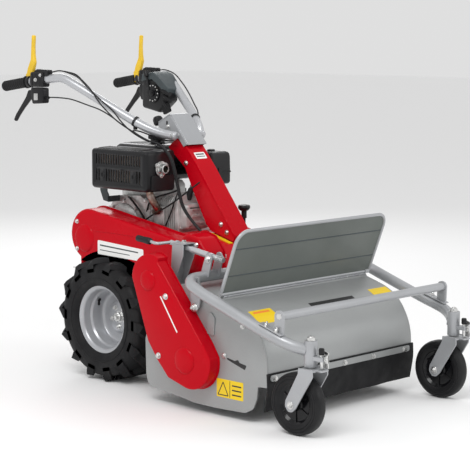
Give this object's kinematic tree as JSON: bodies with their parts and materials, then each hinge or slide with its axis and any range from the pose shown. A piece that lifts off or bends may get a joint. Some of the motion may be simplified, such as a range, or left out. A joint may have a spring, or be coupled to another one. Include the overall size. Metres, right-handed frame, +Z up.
{
  "type": "brush mower",
  "caption": "Walk-behind flail mower: engine on a two-wheel chassis, belt-driven flail deck in front, swivelling castors on a tubular frame, raised deflector and high handlebars.",
  "frame": {"origin": "on the ground under the middle of the overall box; the drive axle is 284 mm behind it", "axes": "+Z up; the machine drives and mows towards -Y; the belt covers are on the -X side, which is the operator's right"},
  "size_m": [0.8196, 1.5437, 1.1422],
  "materials": {
    "red_paint": "gloss red powder coat",
    "silver_paint": "satin silver-grey paint",
    "sheet_grey": "satin grey paint on sheet steel",
    "plate_inner": "satin dark grey-green paint",
    "zinc": "bright zinc plate",
    "cast_aluminium": "as-cast aluminium",
    "bar_alloy": "satin silver paint",
    "steel": "machined steel",
    "black_plastic": "moulded black plastic",
    "gloss_black": "gloss black",
    "black_paint": "heat-proof satin black paint",
    "yellow_plastic": "moulded yellow plastic",
    "rubber": "black rubber",
    "tyre_rubber": "black tyre rubber"
  },
  "bodies": {
    "chassis": {"main_frame": "red_paint", "transaxle": "cast_aluminium", "rear_bracket": "zinc", "drive_belt_cover": "red_paint", "drive_belt": "rubber", "rotor_belt_cover": "red_paint", "rotor_belt": "rubber", "deck_hood": "sheet_grey", "side_plate_right": "sheet_grey", "side_plate_left": "sheet_grey", "rubber_flap": "rubber", "flap_bar": "zinc", "crank_bracket": "silver_paint", "crankcase": "cast_aluminium", "engine_shroud": "black_plastic", "fuel_tank": "gloss_black", "muffler_guard": "black_paint", "muffler": "steel", "air_filter": "black_plastic", "steering_column": "red_paint", "column_head": "silver_paint", "cable_loom": "black_plastic"},
    "crankshaft": {"engine_pulley": "steel"},
    "countershaft": {"countershaft": "steel"},
    "rotor": {"rotor": "steel"},
    "wheel_right": {"rim_right": "silver_paint", "tyre_right": "tyre_rubber"},
    "wheel_left": {"rim_left": "silver_paint", "tyre_left": "tyre_rubber"},
    "castor_frame": {"castor_frame": "silver_paint", "front_bar": "silver_paint"},
    "fork_right": {"castor_fork_right": "silver_paint"},
    "fork_left": {"castor_fork_left": "silver_paint"},
    "castor_wheel_right": {"castor_wheel_right": "rubber"},
    "castor_wheel_left": {"castor_wheel_left": "rubber"},
    "lock_pin_right": {"lock_pin_right": "zinc"},
    "lock_pin_left": {"lock_pin_left": "zinc"},
    "height_crank": {"height_crank": "zinc"},
    "deflector": {"deflector": "plate_inner"},
    "handlebar": {"handlebar_right": "bar_alloy", "handlebar_left": "bar_alloy", "grip_right": "rubber", "grip_left": "rubber", "lever_housing_right": "black_plastic", "lever_housing_left": "black_plastic", "control_box": "black_plastic", "clutch_cable_right": "black_plastic", "throttle_cable": "black_plastic", "brake_cable_right": "black_plastic", "clutch_cable_left": "black_plastic"},
    "clutch_lever_right": {"clutch_lever_right": "yellow_plastic"},
    "clutch_lever_left": {"clutch_lever_left": "yellow_plastic"},
    "brake_lever_right": {"brake_lever_right": "black_plastic"},
    "brake_lever_left": {"brake_lever_left": "black_plastic"},
    "speed_lever": {"speed_lever": "black_plastic"},
    "lock_knob": {"lock_knob": "black_plastic"},
    "selector_knob": {"selector_knob": "black_plastic"},
    "fuel_cap": {"fuel_cap": "black_plastic"},
    "recoil_handle": {"recoil_handle": "black_plastic"}
  },
  "joints": [
    {"name": "wheel_right_spin", "type": "hinge", "parent": "chassis", "child": "wheel_right", "pos_m": [-0.18, 0.284, 0.206], "axis": [1, 0, 0], "continuous": true},
    {"name": "wheel_left_spin", "type": "hinge", "parent": "chassis", "child": "wheel_left", "pos_m": [0.18, 0.284, 0.206], "axis": [1, 0, 0], "continuous": true},
    {"name": "rotor_spin", "type": "hinge", "parent": "chassis", "child": "rotor", "pos_m": [0, -0.263, 0.164], "axis": [1, 0, 0], "continuous": true},
    {"name": "countershaft_spin", "type": "hinge", "parent": "chassis", "child": "countershaft", "pos_m": [-0.25, -0.095, 0.397], "axis": [1, 0, 0], "continuous": true},
    {"name": "crankshaft_spin", "type": "hinge", "parent": "chassis", "child": "crankshaft", "pos_m": [-0.15, 0.329, 0.508], "axis": [1, 0, 0], "continuous": true},
    {"name": "cutting_height", "type": "hinge", "parent": "chassis", "child": "castor_frame", "pos_m": [0, -0.261, 0.325], "axis": [1, 0, 0], "range_deg": [-6, 5]},
    {"name": "castor_swivel_right", "type": "hinge", "parent": "castor_frame", "child": "fork_right", "pos_m": [-0.344, -0.717, 0.245], "axis": [0, 0, 1], "continuous": true},
    {"name": "castor_spin_right", "type": "hinge", "parent": "fork_right", "child": "castor_wheel_right", "pos_m": [-0.344, -0.671, 0.0924], "axis": [1, 0, 0], "continuous": true},
    {"name": "lock_pin_right_slide", "type": "slide", "parent": "castor_frame", "child": "lock_pin_right", "axis": [0, 0, 1], "range_m": [0, 0.01], "stiffness_N_per_m": 400, "springref_m": -0.005},
    {"name": "castor_swivel_left", "type": "hinge", "parent": "castor_frame", "child": "fork_left", "pos_m": [0.344, -0.717, 0.245], "axis": [0, 0, 1], "continuous": true},
    {"name": "castor_spin_left", "type": "hinge", "parent": "fork_left", "child": "castor_wheel_left", "pos_m": [0.344, -0.671, 0.0924], "axis": [1, 0, 0], "continuous": true},
    {"name": "lock_pin_left_slide", "type": "slide", "parent": "castor_frame", "child": "lock_pin_left", "axis": [0, 0, 1], "range_m": [0, 0.01], "stiffness_N_per_m": 400, "springref_m": -0.005},
    {"name": "crank_turn", "type": "hinge", "parent": "chassis", "child": "height_crank", "pos_m": [-0.288, -0.151, 0.493], "axis": [0, 0.9888, 0.1495], "continuous": true},
    {"name": "deflector_fold", "type": "hinge", "parent": "chassis", "child": "deflector", "pos_m": [0, -0.364, 0.3755], "axis": [1, 0, 0], "range_deg": [-15, 60]},
    {"name": "handlebar_height", "type": "hinge", "parent": "chassis", "child": "handlebar", "pos_m": [0, 0.13, 0.816], "axis": [1, 0, 0], "range_deg": [-8, 10]},
    {"name": "clutch_lever_right_pull", "type": "hinge", "parent": "handlebar", "child": "clutch_lever_right", "pos_m": [-0.25, 0.64, 1.012], "axis": [1, 0, 0], "range_deg": [-75, 0], "stiffness_Nm_per_rad": 0.8, "springref_deg": 20.05},
    {"name": "brake_lever_right_pull", "type": "hinge", "parent": "handlebar", "child": "brake_lever_right", "pos_m": [-0.254, 0.622, 0.941], "axis": [1, 0, 0], "range_deg": [0, 22], "stiffness_Nm_per_rad": 1, "springref_deg": -17.19},
    {"name": "clutch_lever_left_pull", "type": "hinge", "parent": "handlebar", "child": "clutch_lever_left", "pos_m": [0.25, 0.64, 1.012], "axis": [1, 0, 0], "range_deg": [-75, 0], "stiffness_Nm_per_rad": 0.8, "springref_deg": 20.05},
    {"name": "brake_lever_left_pull", "type": "hinge", "parent": "handlebar", "child": "brake_lever_left", "pos_m": [0.254, 0.622, 0.941], "axis": [1, 0, 0], "range_deg": [0, 22], "stiffness_Nm_per_rad": 1, "springref_deg": -17.19},
    {"name": "speed_lever_turn", "type": "hinge", "parent": "handlebar", "child": "speed_lever", "pos_m": [0.154, 0.474, 0.94], "axis": [1, 0, 0], "range_deg": [-35, 25]},
    {"name": "lock_knob_turn", "type": "hinge", "parent": "chassis", "child": "lock_knob", "pos_m": [0, 0.2385, 0.8475], "axis": [0, 0.9952, 0.0976], "continuous": true},
    {"name": "selector_pull", "type": "slide", "parent": "chassis", "child": "selector_knob", "axis": [0, 0, 1], "range_m": [0, 0.02]},
    {"name": "fuel_cap_turn", "type": "hinge", "parent": "chassis", "child": "fuel_cap", "pos_m": [0.07, 0.344, 0.797], "axis": [0, 0, 1], "continuous": true},
    {"name": "recoil_pull", "type": "slide", "parent": "chassis", "child": "recoil_handle", "axis": [0, 0, 1], "range_m": [0, 0.035], "stiffness_N_per_m": 60, "springref_m": -0.05}
  ],
  "couplings": [
    {"joint": "countershaft_spin", "follows": "rotor_spin", "ratio": 1},
    {"joint": "crankshaft_spin", "follows": "rotor_spin", "ratio": 1.1053}
  ]
}
